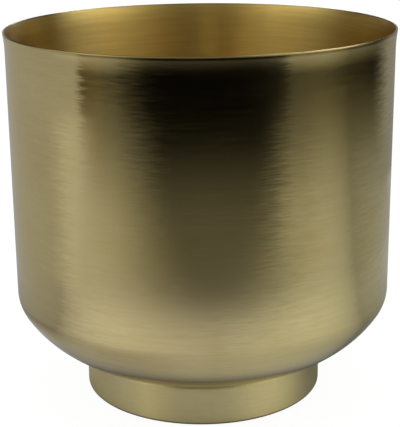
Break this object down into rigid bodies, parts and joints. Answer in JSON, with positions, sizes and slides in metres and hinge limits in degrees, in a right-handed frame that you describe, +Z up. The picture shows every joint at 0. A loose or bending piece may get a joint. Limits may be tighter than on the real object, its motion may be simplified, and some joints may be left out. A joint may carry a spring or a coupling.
{
  "type": "cachepot",
  "caption": "Round spun brass cachepot with a straight wall, rounded heel, flared rim and a low foot ring on rubber bumpers, to hold a potted plant.",
  "frame": {"origin": "on the pot's axis, on the surface that the rubber feet stand on", "axes": "+Z up along the axis that the pot is turned about; the rubber feet lie at 45 degrees between +X and +Y and at each quarter turn from there"},
  "size_m": [0.1986, 0.1986, 0.1932],
  "materials": {
    "brushed_brass": "fine circumferential brushing, clear lacquered",
    "braze_metal": "dull, as run, wire brushed",
    "bumper_rubber": "matt moulded rubber"
  },
  "bodies": {
    "root": {"bowl": "brushed_brass", "foot_ring": "brushed_brass", "braze_fillet": "braze_metal", "rubber_foot_1": "bumper_rubber", "rubber_foot_2": "bumper_rubber", "rubber_foot_3": "bumper_rubber", "rubber_foot_4": "bumper_rubber"}
  },
  "joints": []
}
